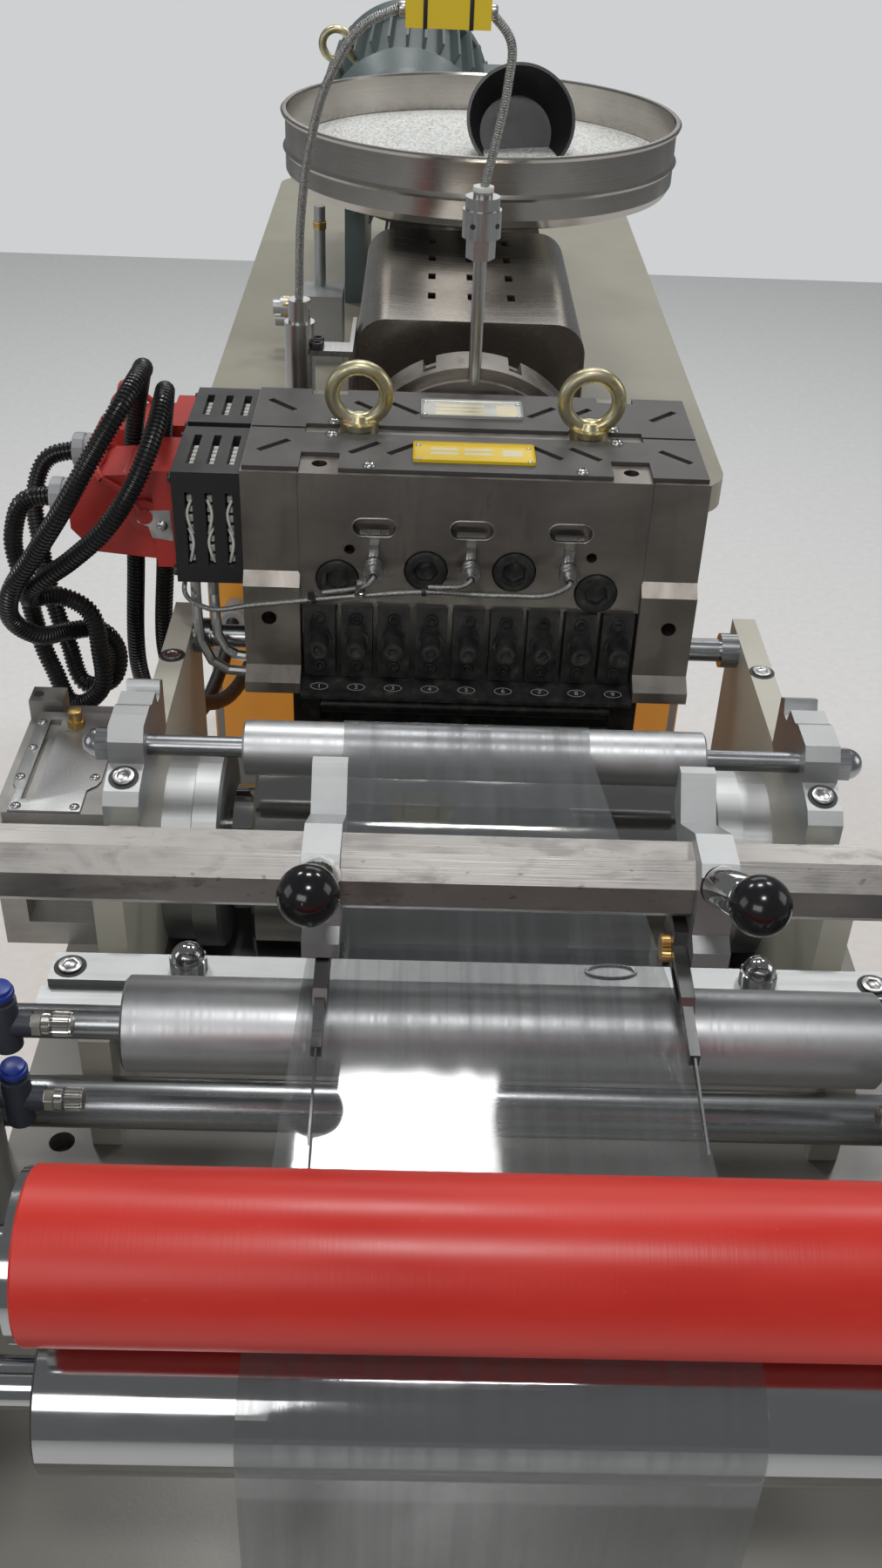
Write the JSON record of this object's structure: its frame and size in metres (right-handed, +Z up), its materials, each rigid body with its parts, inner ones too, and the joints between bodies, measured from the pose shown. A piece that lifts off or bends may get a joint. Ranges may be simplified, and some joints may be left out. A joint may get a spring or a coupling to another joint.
{
  "type": "plastic film extruder with roller take-off",
  "caption": "Laboratory film extruder: a hopper-fed barrel and flat film die over a cabinet, with a chill roll, guide rollers, trimming knives and a nip.",
  "frame": {"origin": "centre of the extruder cabinet's plinth, on the floor", "axes": "+Z up, +Y from the die back along the barrel towards the motor, +X to the right seen from the take-off"},
  "size_m": [0.5764, 2.195, 1.415],
  "materials": {
    "cabinet_grey": "satin paint",
    "orange_paint": "satin powder coat",
    "table_cream": "fine textured paint",
    "plate_grey": "semi-gloss paint",
    "cream_paint": "smooth paint",
    "satin_aluminium": "satin anodised",
    "beam_aluminium": "satin, painted front",
    "milled_aluminium": "milled and handled",
    "chrome_roll": "mirror polished",
    "bright_steel": "ground",
    "black_oxide": "black oxide, oiled",
    "die_steel": "ground, heat tinted",
    "cover_dark": "matt, dusty",
    "yellow_zinc": "yellow passivated zinc",
    "knob_black": "glossy moulding",
    "rubber_red": "smooth silicone",
    "fitting_dark": "moulded",
    "film_clear": "clear film",
    "box_black": "fine moulded grain",
    "connector_red": "die cast, painted",
    "gland_grey": "moulded",
    "conduit_black": "corrugated",
    "braid": "braided wire",
    "stainless": "spun and polished",
    "pellet_white": "translucent granules",
    "cup_black": "moulded",
    "machine_green": "enamel",
    "yellow_plastic": "moulded"
  },
  "bodies": {
    "machine": {"extruder_cabinet": "cabinet_grey", "takeoff_cabinet": "cabinet_grey", "orange_panels": "orange_paint", "table_top": "table_cream", "takeoff_plate": "plate_grey", "side_frames": "cream_paint", "outer_plates": "satin_aluminium", "roller_brackets": "satin_aluminium", "fixed_shafts": "bright_steel", "roll_housings": "satin_aluminium", "roll_drive": "satin_aluminium", "cross_beams": "beam_aluminium", "knife_bar": "milled_aluminium", "air_cylinders": "satin_aluminium", "air_fittings": "fitting_dark", "film_web": "film_clear", "die_body": "die_steel", "die_end_plates": "die_steel", "die_top_cover": "cover_dark", "lifting_eyes": "yellow_zinc", "lip_adjusters": "black_oxide", "number_strip": "black_oxide", "die_lips": "black_oxide", "thermocouples": "bright_steel", "thermo_lead_left": "braid", "thermo_lead_middle": "braid", "thermo_lead_right": "braid", "terminal_boxes": "box_black", "red_connectors": "connector_red", "connector_glands": "gland_grey", "conduit_front": "conduit_black", "conduit_rear": "conduit_black", "heater_tubes": "bright_steel", "barrel_clamp": "die_steel", "barrel": "die_steel", "barrel_cover": "stainless", "hopper_pan": "stainless", "pellets": "pellet_white", "hopper_cup": "cup_black", "gearbox": "machine_green", "drive_motor": "machine_green", "water_block": "satin_aluminium", "melt_probe": "stainless", "probe_conduit": "braid", "yellow_connector": "yellow_plastic", "sensor_cable": "braid", "pressure_sensor": "stainless"},
    "top_roller": {"top_guide_roller": "satin_aluminium"},
    "chill": {"chill_roll": "chrome_roll"},
    "wide_roller": {"wide_guide_roller": "satin_aluminium"},
    "nip_roller": {"red_roller": "rubber_red", "red_roller_core": "bright_steel"},
    "steel_roller": {"front_steel_roller": "chrome_roll"},
    "left_knife": {"knife_holder_left": "satin_aluminium", "clamp_knob_left": "knob_black", "blade_arm_left": "bright_steel"},
    "right_knife": {"knife_holder_right": "satin_aluminium", "clamp_knob_right": "knob_black", "blade_arm_right": "bright_steel"}
  },
  "joints": [
    {"name": "top_guide_roller_spin", "type": "hinge", "parent": "machine", "child": "top_roller", "pos_m": [0, -1.164, 1.065], "axis": [1, 0, 0], "continuous": true},
    {"name": "chill_roll_spin", "type": "hinge", "parent": "machine", "child": "chill", "pos_m": [0, -1.105, 0.947], "axis": [1, 0, 0], "continuous": true},
    {"name": "wide_guide_roller_spin", "type": "hinge", "parent": "machine", "child": "wide_roller", "pos_m": [0.01, -1.373, 1.05], "axis": [1, 0, 0], "continuous": true},
    {"name": "red_roller_spin", "type": "hinge", "parent": "machine", "child": "nip_roller", "pos_m": [0.01, -1.545, 1.107], "axis": [1, 0, 0], "continuous": true},
    {"name": "front_roller_spin", "type": "hinge", "parent": "machine", "child": "steel_roller", "pos_m": [0.01, -1.543, 1.026], "axis": [1, 0, 0], "continuous": true},
    {"name": "left_knife_slide", "type": "slide", "parent": "machine", "child": "left_knife", "axis": [1, 0, 0], "range_m": [-0.08, 0.06]},
    {"name": "right_knife_slide", "type": "slide", "parent": "machine", "child": "right_knife", "axis": [1, 0, 0], "range_m": [-0.06, 0.06]}
  ]
}
